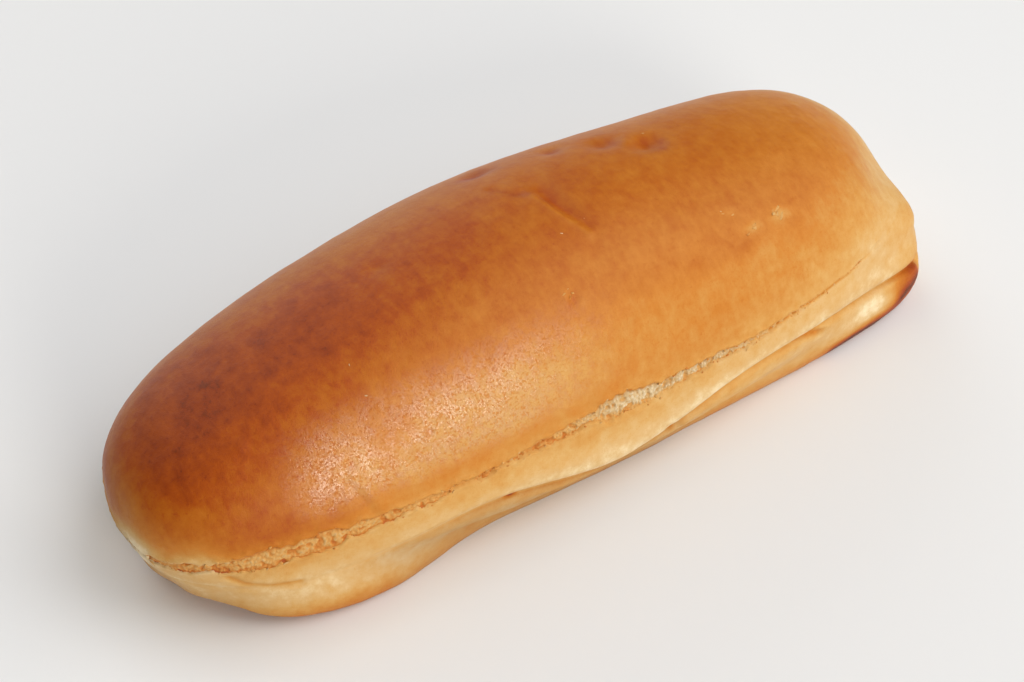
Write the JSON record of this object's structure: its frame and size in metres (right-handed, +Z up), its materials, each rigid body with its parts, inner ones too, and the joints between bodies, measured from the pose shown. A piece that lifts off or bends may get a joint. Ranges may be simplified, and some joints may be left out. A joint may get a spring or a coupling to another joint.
{
  "type": "brioche hot dog bun",
  "caption": "Long brioche hot dog bun, whole and uncut: a glossy brown domed crown over a pale torn side band, with rounded ends and a flat baked sole to rest on.",
  "frame": {"origin": "centre of the box around the bun, on the plane of its flat baked sole", "axes": "+X along the bun to its blunt end, -X to its dark end that curls up, +Z up from the sole, -Y to the side that tore open in the oven"},
  "size_m": [0.1766, 0.0674, 0.0484],
  "materials": {
    "crust": null
  },
  "bodies": {
    "root": {"bun": "crust"}
  },
  "joints": []
}
